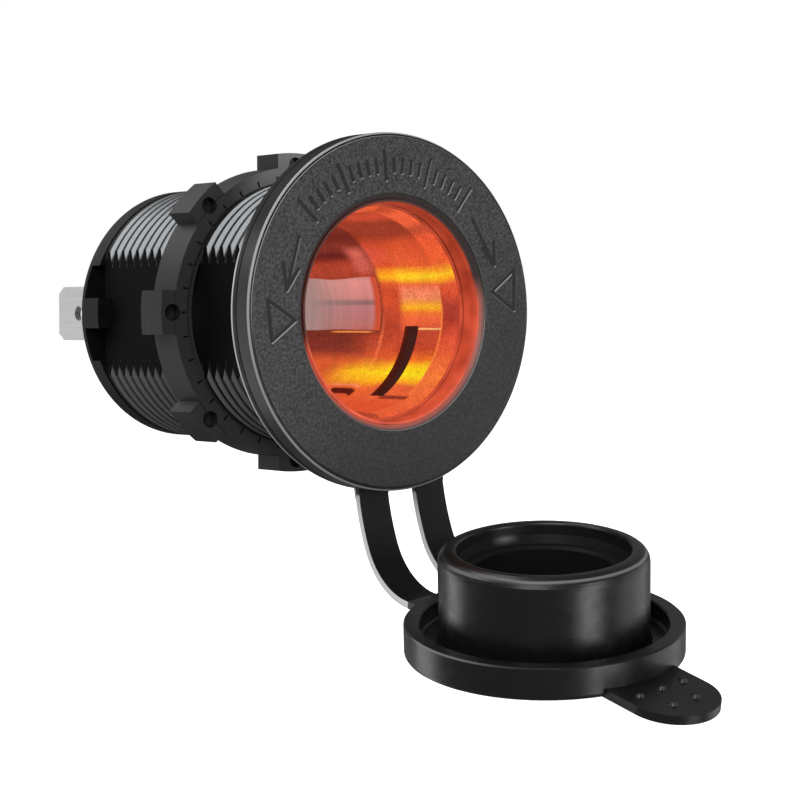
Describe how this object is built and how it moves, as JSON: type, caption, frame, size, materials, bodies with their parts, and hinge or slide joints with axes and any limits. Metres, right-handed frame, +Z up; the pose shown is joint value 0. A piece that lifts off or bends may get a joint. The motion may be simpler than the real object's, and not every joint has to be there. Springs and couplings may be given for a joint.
{
  "type": "car 12v power socket",
  "caption": "Panel-mount 12 V power socket with a lit mouth, a threaded body with a ring nut, blade terminals and a strap-hung rubber dust cap.",
  "frame": {"origin": "on the socket's axis, in the plane of the panel's outer surface, which is the strap ring's rear face", "axes": "-Y out of the socket's mouth, +Z up, +X to the right when one looks into the mouth"},
  "size_m": [0.0373, 0.0906, 0.0567],
  "materials": {
    "black_nylon": "fine moulded grain",
    "amber_plastic": "clear amber",
    "nickel_plate": "nickel plated, drawn",
    "tinned_brass": "tin plated, stamped",
    "phenolic_board": "pressed laminate",
    "contact_brass": "bright",
    "circuit_board": "green solder mask",
    "lamp_resin": "clear resin",
    "resistor_coat": "dipped coat",
    "red_insulation": "satin",
    "black_insulation": "satin",
    "soft_rubber": "satin, moulded"
  },
  "bodies": {
    "housing": {"housing": "black_nylon", "light_sleeve": "amber_plastic", "metal_barrel": "nickel_plate", "side_spring_right": "nickel_plate", "side_spring_left": "nickel_plate", "base_insulator": "phenolic_board", "rear_insulator": "phenolic_board", "centre_contact": "contact_brass", "live_blade": "tinned_brass", "earth_blade": "tinned_brass", "earth_rivet": "nickel_plate", "led_board": "circuit_board", "led_right": "lamp_resin", "led_left": "lamp_resin", "resistor": "resistor_coat", "lead_live": "red_insulation", "lead_earth": "black_insulation", "rear_cover": "black_nylon"},
    "nut": {"ring_nut": "black_nylon"},
    "strap_ring": {"strap_ring": "soft_rubber"},
    "strap": {"strap_left": "soft_rubber", "strap_right": "soft_rubber"},
    "cap": {"dust_cap": "soft_rubber"}
  },
  "joints": [
    {"name": "nut_travel", "type": "slide", "parent": "housing", "child": "nut", "axis": [0, 1, 0], "range_m": [-0.0135, 0.015]},
    {"name": "ring_turn", "type": "hinge", "parent": "housing", "child": "strap_ring", "pos_m": [0, 0, 0], "axis": [0, 1, 0], "continuous": true},
    {"name": "cap_swing", "type": "hinge", "parent": "strap_ring", "child": "strap", "pos_m": [0.00276, -0.0027, -0.01961], "axis": [-0.9903, 0, -0.1392], "range_deg": [0, 98], "stiffness_Nm_per_rad": 0.0015, "deforming": ["strap_left", "strap_right"]},
    {"name": "cap_press", "type": "slide", "parent": "strap", "child": "cap", "axis": [-0.1378, -0.1392, 0.9806], "range_m": [0, 0.008]}
  ]
}
